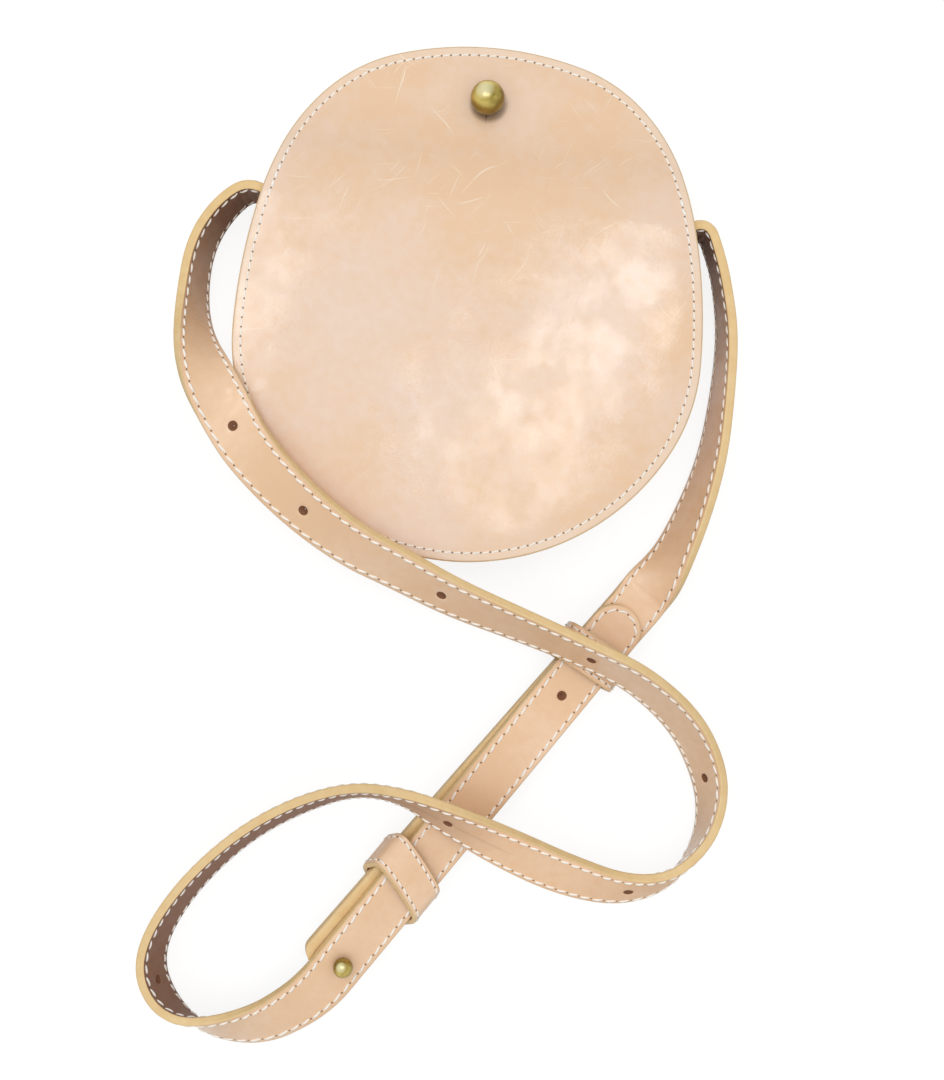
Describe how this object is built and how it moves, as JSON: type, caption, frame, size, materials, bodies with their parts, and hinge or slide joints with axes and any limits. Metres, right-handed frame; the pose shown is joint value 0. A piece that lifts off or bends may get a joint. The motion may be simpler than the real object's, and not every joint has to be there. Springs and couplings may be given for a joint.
{
  "type": "circle bag",
  "caption": "Round flat leather crossbody bag with a gusset, a ball stud through a buttonhole at its mouth and a long strap buttoned to a short one.",
  "frame": {"origin": "on the back panel's resting face, on the bag's middle line at its widest level", "axes": "+X to the right seen from the front, +Y towards the mouth, +Z from the back panel to the front"},
  "size_m": [0.2301, 0.4009, 0.0409],
  "materials": {
    "panel_leather": "natural smooth vegetable-tanned",
    "lining_leather": "natural matt",
    "strap_leather": "natural smooth vegetable-tanned",
    "strap_lining": "flesh side, matt",
    "brass": "satin antique"
  },
  "bodies": {
    "bag": {"front_panel": "panel_leather", "front_lining": "lining_leather", "back_panel": "panel_leather", "back_lining": "lining_leather", "gusset": "panel_leather", "closure_stud": "brass", "closure_screw": "brass", "strap_long": "strap_leather", "strap_long_lining": "strap_lining", "strap_short": "strap_leather", "strap_short_lining": "strap_lining", "strap_stud": "brass", "strap_stud_screw": "brass"},
    "mouth": {"front_mouth": "panel_leather", "front_mouth_lining": "lining_leather", "buttonhole_lips": "panel_leather"},
    "stud_side_keeper": {"keeper_stud_side": "strap_leather"},
    "tip_side_keeper": {"keeper_tip_side": "strap_leather"}
  },
  "joints": [
    {"name": "mouth_fold", "type": "hinge", "parent": "bag", "child": "mouth", "pos_m": [0, 0.0615, 0.0284], "axis": [1, 0, 0], "range_deg": [0, 60], "deforming": ["buttonhole_lips"]},
    {"name": "stud_side_keeper_slide", "type": "slide", "parent": "bag", "child": "stud_side_keeper", "axis": [-0.5695, -0.822, 0], "range_m": [-0.012, 0.024]},
    {"name": "tip_side_keeper_slide", "type": "slide", "parent": "bag", "child": "tip_side_keeper", "axis": [-0.5695, -0.822, 0], "range_m": [-0.006, 0.04]}
  ]
}
